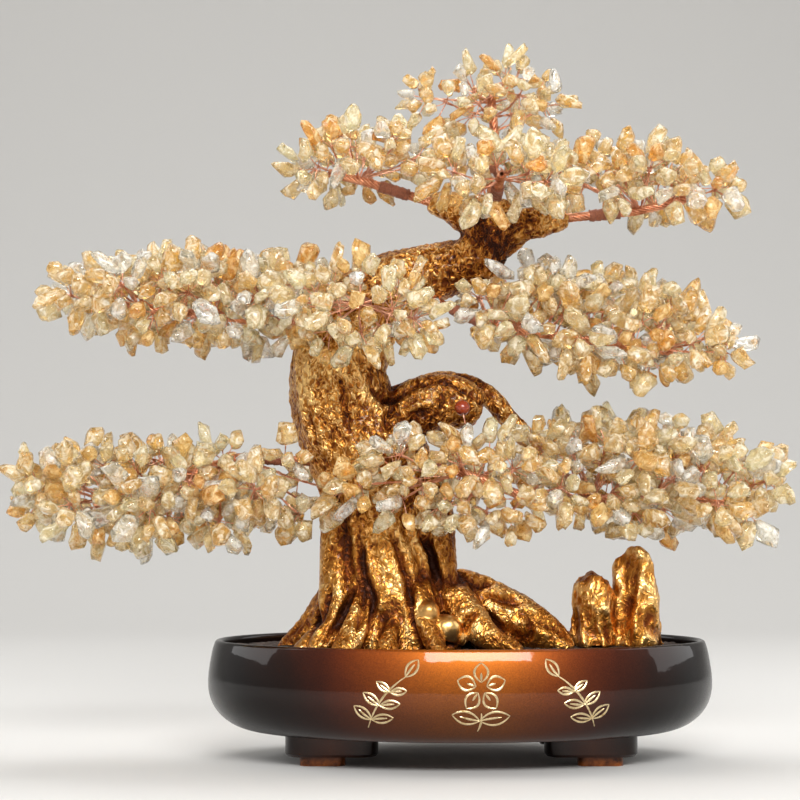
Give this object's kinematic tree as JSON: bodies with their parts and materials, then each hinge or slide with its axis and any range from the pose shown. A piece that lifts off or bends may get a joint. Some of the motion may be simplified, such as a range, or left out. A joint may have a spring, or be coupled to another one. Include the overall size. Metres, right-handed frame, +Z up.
{
  "type": "gemstone tree ornament",
  "caption": "Bonsai-style gem tree: a gilded cast trunk in an oval lacquered tray on stepped feet, with copper wire boughs that bend and carry tumbled yellow quartz chips.",
  "frame": {"origin": "on the table, under the middle of the ornament's overall box", "axes": "+Z up, +X along the tray to the viewer's right, +Y away from the viewer"},
  "size_m": [0.3552, 0.1518, 0.3259],
  "materials": {
    "lacquer": "copper-brown gloss lacquer, airbrushed dark at the ends",
    "dowel_wood": "plain",
    "plaster": "raw plaster",
    "soil": "rough dark crust",
    "steel": "plain rod",
    "antique_gold": "antique gold paint over dark brown",
    "copper": "copper wire",
    "brown_tape": "wound stem tape",
    "red_agate": "polished",
    "quartz": "tumbled, translucent"
  },
  "bodies": {
    "base": {"tray": "lacquer", "foot_front_left": "lacquer", "foot_front_right": "lacquer", "foot_rear_left": "lacquer", "foot_rear_right": "lacquer", "foot_dowels": "dowel_wood", "plaster_ballast": "plaster", "soil_bed": "soil", "core_rod": "steel", "rock": "antique_gold", "trunk": "antique_gold", "stem_pegs": "copper"},
    "crown_left_bough": {"crown_left_stem": "copper", "crown_left_sleeve": "brown_tape", "crown_left_sprays": "copper", "crown_left_stones": "quartz"},
    "crown_right_bough": {"crown_right_stem": "copper", "crown_right_sleeve": "brown_tape", "crown_right_sprays": "copper", "crown_right_stones": "quartz"},
    "crown_top_bough": {"crown_top_stem": "copper", "crown_top_sleeve": "brown_tape", "crown_top_sprays": "copper", "crown_top_stones": "quartz"},
    "crown_front_bough": {"crown_front_stem": "copper", "crown_front_sleeve": "brown_tape", "crown_front_sprays": "copper", "crown_front_stones": "quartz"},
    "mid_left_bough": {"mid_left_stem": "copper", "mid_left_sleeve": "brown_tape", "mid_left_sprays": "copper", "mid_left_stones": "quartz"},
    "mid_right_bough": {"mid_right_stem": "copper", "mid_right_sleeve": "brown_tape", "mid_right_sprays": "copper", "mid_right_stones": "quartz"},
    "mid_front_bough": {"mid_front_stem": "copper", "mid_front_sleeve": "brown_tape", "mid_front_sprays": "copper", "mid_front_stones": "quartz"},
    "low_left_bough": {"low_left_stem": "copper", "low_left_sleeve": "brown_tape", "low_left_sprays": "copper", "low_left_stones": "quartz"},
    "low_right_bough": {"low_right_stem": "copper", "low_right_sleeve": "brown_tape", "low_right_sprays": "copper", "low_right_stones": "quartz"},
    "low_front_bough": {"low_front_stem": "copper", "low_front_sleeve": "brown_tape", "low_front_sprays": "copper", "low_front_stones": "quartz", "red_bead": "red_agate", "red_bead_wire": "copper"}
  },
  "joints": [
    {"name": "crown_left_bend", "type": "hinge", "parent": "base", "child": "crown_left_bough", "pos_m": [0.00873, -0.00318, 0.25303], "axis": [-0.0995, 0.995, 0], "range_deg": [-6, 10]},
    {"name": "crown_right_bend", "type": "hinge", "parent": "base", "child": "crown_right_bough", "pos_m": [0.08147, 0.0016, 0.2453], "axis": [0.0499, -0.9988, 0], "range_deg": [-6, 10]},
    {"name": "crown_top_bend", "type": "hinge", "parent": "base", "child": "crown_top_bough", "pos_m": [0.0417, 0.00025, 0.25738], "axis": [0, 1, 0], "range_deg": [-7, 7]},
    {"name": "crown_front_bend", "type": "hinge", "parent": "base", "child": "crown_front_bough", "pos_m": [0.04227, -0.01747, 0.24984], "axis": [-0.9988, -0.0499, 0], "range_deg": [-5, 8]},
    {"name": "mid_left_bend", "type": "hinge", "parent": "base", "child": "mid_left_bough", "pos_m": [-0.04894, -0.00453, 0.19573], "axis": [-0.0995, 0.995, 0], "range_deg": [-5, 8]},
    {"name": "mid_right_bend", "type": "hinge", "parent": "base", "child": "mid_right_bough", "pos_m": [0.01914, -0.00481, 0.20478], "axis": [-0.3511, -0.9363, 0], "range_deg": [-5, 8]},
    {"name": "mid_front_bend", "type": "hinge", "parent": "base", "child": "mid_front_bough", "pos_m": [-0.01499, -0.02295, 0.20361], "axis": [-0.995, 0.0995, 0], "range_deg": [-5, 8]},
    {"name": "low_left_bend", "type": "hinge", "parent": "base", "child": "low_left_bough", "pos_m": [-0.0465, -0.00317, 0.13403], "axis": [-0.1191, 0.9929, 0], "range_deg": [-5, 8]},
    {"name": "low_right_bend", "type": "hinge", "parent": "base", "child": "low_right_bough", "pos_m": [0.06677, 0.00684, 0.13377], "axis": [0.1414, -0.99, 0], "range_deg": [-4, 8]},
    {"name": "low_front_bend", "type": "hinge", "parent": "base", "child": "low_front_bough", "pos_m": [0.0074, -0.0249, 0.13071], "axis": [-0.7904, -0.6126, 0], "range_deg": [-5, 8]}
  ]
}
